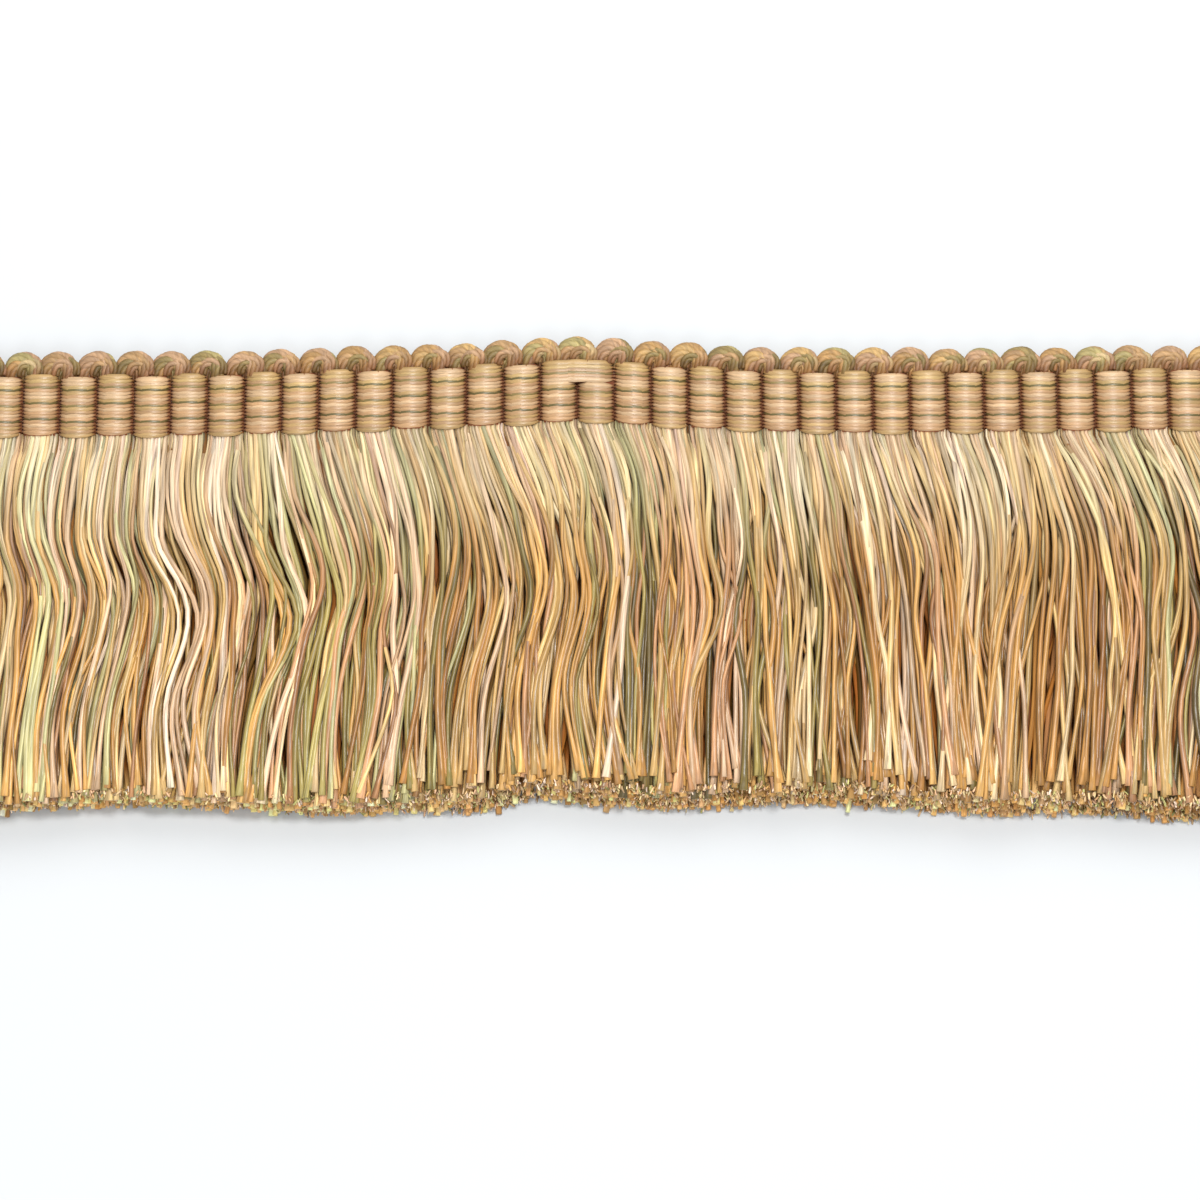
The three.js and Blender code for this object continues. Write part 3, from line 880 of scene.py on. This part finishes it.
def makeSkirt(name, spec, material):
    depths = np.linspace(0, 1, spec["steps"]) ** skirt["stepPower"]
    depths = np.concatenate([[-skirt["rootInside"] / skirt["length"]], depths])
    layers = []
    for number in range(len(spec["levels"])):
        *course, openX = skirtCourses(spec, number, depths)
        layers.append((*course, skirtColours(spec, number, depths, openX)))
    paths, widths, heights, colours = (np.concatenate(part) for part in zip(*layers))
    return makeYarns(
        name, paths, widths, heights, colours, material,
        spec["sides"], skirt["bakeColumns"], skirt["filamentTwist"],
    )


# The frayed ends along the cut, short fibres on the slope that the layers' tips make
frays = {
    "perRib": 170,
    "steps": 3,
    "slopeFoot": 0.25,
    "slopeRise": 7.2,
    "lowerPower": 1.2,  # over 1, more of them are near the floor
    "inside": (0.4, 1.3),  # how far above the cut they start
    "length": (0.45, 1.2),
    "width": (0.18, 0.46),
    "tipWidth": 0.7,
    "lean": {"sideways": 0.4, "up": 0.25, "upSpread": 0.4},
    "bend": 0.12,
    "colours": ["tan", "cutTan", "straw", "rose", "sage", "cutTan", "ochre", "blush"],
    "shade": (0.62, 1.7),
    "sides": 4,
    "bakeColumns": 140,
    "filamentTwist": 0.1,
}


def makeFrays(material):
    count = trim["ribs"] * frays["perRib"]
    x = draw.uniform(-0.5, 0.5, count) * trim["length"]
    height = draw.random(count) ** frays["lowerPower"]
    slope = valueAt(skirt["shorterAt"], "share", x)
    reach = skirt["length"] + valueAt(skirt["cut"], "longer", x) - skirt["topShorter"] * height * slope
    long = draw.uniform(*frays["length"], count)
    startX = x + driftAt(x, [1.0])[:, 0]
    startY = skirtEdge(x) - reach + draw.uniform(*frays["inside"], count)
    startZ = frays["slopeFoot"] + height * frays["slopeRise"]
    start = np.stack([startX, startY, startZ], -1)
    sideways = draw.normal(0, frays["lean"]["sideways"], count)
    up = draw.normal(frays["lean"]["up"], frays["lean"]["upSpread"], count)
    lean = np.stack([sideways, -np.ones(count), up], -1)
    lean /= np.linalg.norm(lean, axis=1, keepdims=True)
    bend = draw.normal(0, frays["bend"], (count, 1, 3))
    share = np.linspace(0, 1, frays["steps"])[None, :, None]
    paths = start[:, None] + lean[:, None] * long[:, None, None] * share + bend * share ** 2
    taper = np.linspace(1, frays["tipWidth"], frays["steps"])
    widths = draw.uniform(*frays["width"], count)[:, None] * taper
    paths[..., 2] = np.maximum(paths[..., 2], widths / 2 + skirt["floorGap"])
    picks = draw.integers(0, len(frays["colours"]), count)
    dyed = np.array([dyeColour(name) for name in frays["colours"]])[picks]
    colours = dyed * draw.uniform(*frays["shade"], (count, 1))
    return makeYarns(
        "cut_ends", paths, widths, widths, colours, material,
        frays["sides"], frays["bakeColumns"], frays["filamentTwist"],
    )


# Finishes of the yarns. Filaments and slubs are counted round a yarn and per mm along it
looks = {
    "skirt": {
        "filamentsRound": 7, "filamentsAlong": 0.07, "filamentContrast": 0.52,
        "slubsAlong": 0.1, "slubContrast": 0.16, "bump": 0.6, "bumpDepth": 0.06,
        "roughness": 0.36, "sheen": 0.04, "specular": 0.5,
    },
    "inner": {
        "filamentsRound": 5, "filamentsAlong": 0.07, "filamentContrast": 0.34,
        "slubsAlong": 0.1, "slubContrast": 0.14, "bump": 0.6, "bumpDepth": 0.06,
        "roughness": 0.6, "sheen": 0.0, "specular": 0.12,
    },
    "loop": {
        "filamentsRound": 4, "filamentsAlong": 0.25, "filamentContrast": 0.3,
        "slubsAlong": 0.3, "slubContrast": 0.15, "bump": 0.7, "bumpDepth": 0.08,
        "roughness": 0.5, "sheen": 0.0, "specular": 0.3,
    },
    "warp": {
        "filamentsRound": 9, "filamentsAlong": 0.1, "filamentContrast": 0.26,
        "slubsAlong": 0.12, "slubContrast": 0.1, "bump": 0.4, "bumpDepth": 0.03,
        "roughness": 0.4, "sheen": 0.1, "specular": 0.6,
    },
}

weft = {
    "strands": (3500, 300, 900),  # per metre
    "dark": (84, 36, 14),
    "light": (136, 74, 34),
    "cutDepth": 1.5,  # how far in from the cut its pale yarn shows
    "cutDark": "ochre",
    "cutLight": "cutTan",
    "roughness": 0.8,
}


# The weft under the warp floats: dark in the grooves, and pale yarn where the trim is cut across
def weftMaterial():
    material = bpy.data.materials.new("weft_ground")
    material.use_nodes = True
    tree = material.node_tree
    shader = tree.nodes["Principled BSDF"]
    place = addNode(tree, "ShaderNodeTexCoord")
    strands = addNode(tree, "ShaderNodeMapping")
    strands.inputs["Scale"].default_value = weft["strands"]
    grain = addNode(tree, "ShaderNodeTexNoise")
    grain.inputs["Scale"].default_value = 1.0
    colour = addNode(tree, "ShaderNodeMixRGB")
    colour.inputs["Color1"].default_value = (*linear(weft["dark"]), 1)
    colour.inputs["Color2"].default_value = (*linear(weft["light"]), 1)
    tree.links.new(place.outputs["Object"], strands.inputs["Vector"])
    tree.links.new(strands.outputs["Vector"], grain.inputs["Vector"])
    tree.links.new(grain.outputs["Fac"], colour.inputs["Fac"])
    along = addNode(tree, "ShaderNodeSeparateXYZ")
    fromMiddle = addNode(tree, "ShaderNodeMath", operation="ABSOLUTE")
    atCut = addNode(tree, "ShaderNodeMath", operation="GREATER_THAN")
    atCut.inputs[1].default_value = (trim["length"] / 2 - weft["cutDepth"]) * mm
    cutGrain = addNode(tree, "ShaderNodeMixRGB")
    cutGrain.inputs["Color1"].default_value = (*dyeColour(weft["cutDark"]), 1)
    cutGrain.inputs["Color2"].default_value = (*dyeColour(weft["cutLight"]), 1)
    whole = addNode(tree, "ShaderNodeMixRGB")
    tree.links.new(place.outputs["Object"], along.inputs["Vector"])
    tree.links.new(along.outputs["X"], fromMiddle.inputs[0])
    tree.links.new(fromMiddle.outputs["Value"], atCut.inputs[0])
    tree.links.new(grain.outputs["Fac"], cutGrain.inputs["Fac"])
    tree.links.new(atCut.outputs["Value"], whole.inputs["Fac"])
    tree.links.new(colour.outputs["Color"], whole.inputs["Color1"])
    tree.links.new(cutGrain.outputs["Color"], whole.inputs["Color2"])
    tree.links.new(whole.outputs["Color"], shader.inputs["Base Color"])
    shader.inputs["Roughness"].default_value = weft["roughness"]
    return material


makeCamera()
makeLight()
makeFloor()
print("camera, light and floor made")

ground = makeGround(weftMaterial())
floats = makeFloats(yarnMaterial("silky_warp", looks["warp"]))
for piece in (ground, floats):
    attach(piece, "root")
    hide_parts("heading")
print("heading made")

loopYarn = yarnMaterial("twisted_loop_yarn", looks["loop"])
loopPlies = makeLoops("loop_plies", loops["outer"], loopYarn)
innerPlies = makeLoops("inner_loop_plies", loops["inner"], loopYarn)
rootPlies = makeLoops("loop_root_plies", loops["root"], loopYarn)
for piece in (loopPlies, innerPlies, rootPlies):
    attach(piece, "root")
    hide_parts("loop_edge")
print("loop edge made")

skirtYarn = yarnMaterial("silky_skirt_yarn", looks["skirt"])
innerYarn = yarnMaterial("inner_skirt_yarn", looks["inner"])
underYarns = makeSkirt("skirt_under_yarns", skirt["under"], innerYarn)
middleYarns = makeSkirt("skirt_middle_yarns", skirt["middle"], innerYarn)
faceYarns = makeSkirt("skirt_face_yarns", skirt["face"], skirtYarn)
cutEnds = makeFrays(innerYarn)
for piece in (underYarns, middleYarns, faceYarns, cutEnds):
    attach(piece, "root")
    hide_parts("skirt")
print("skirt made")
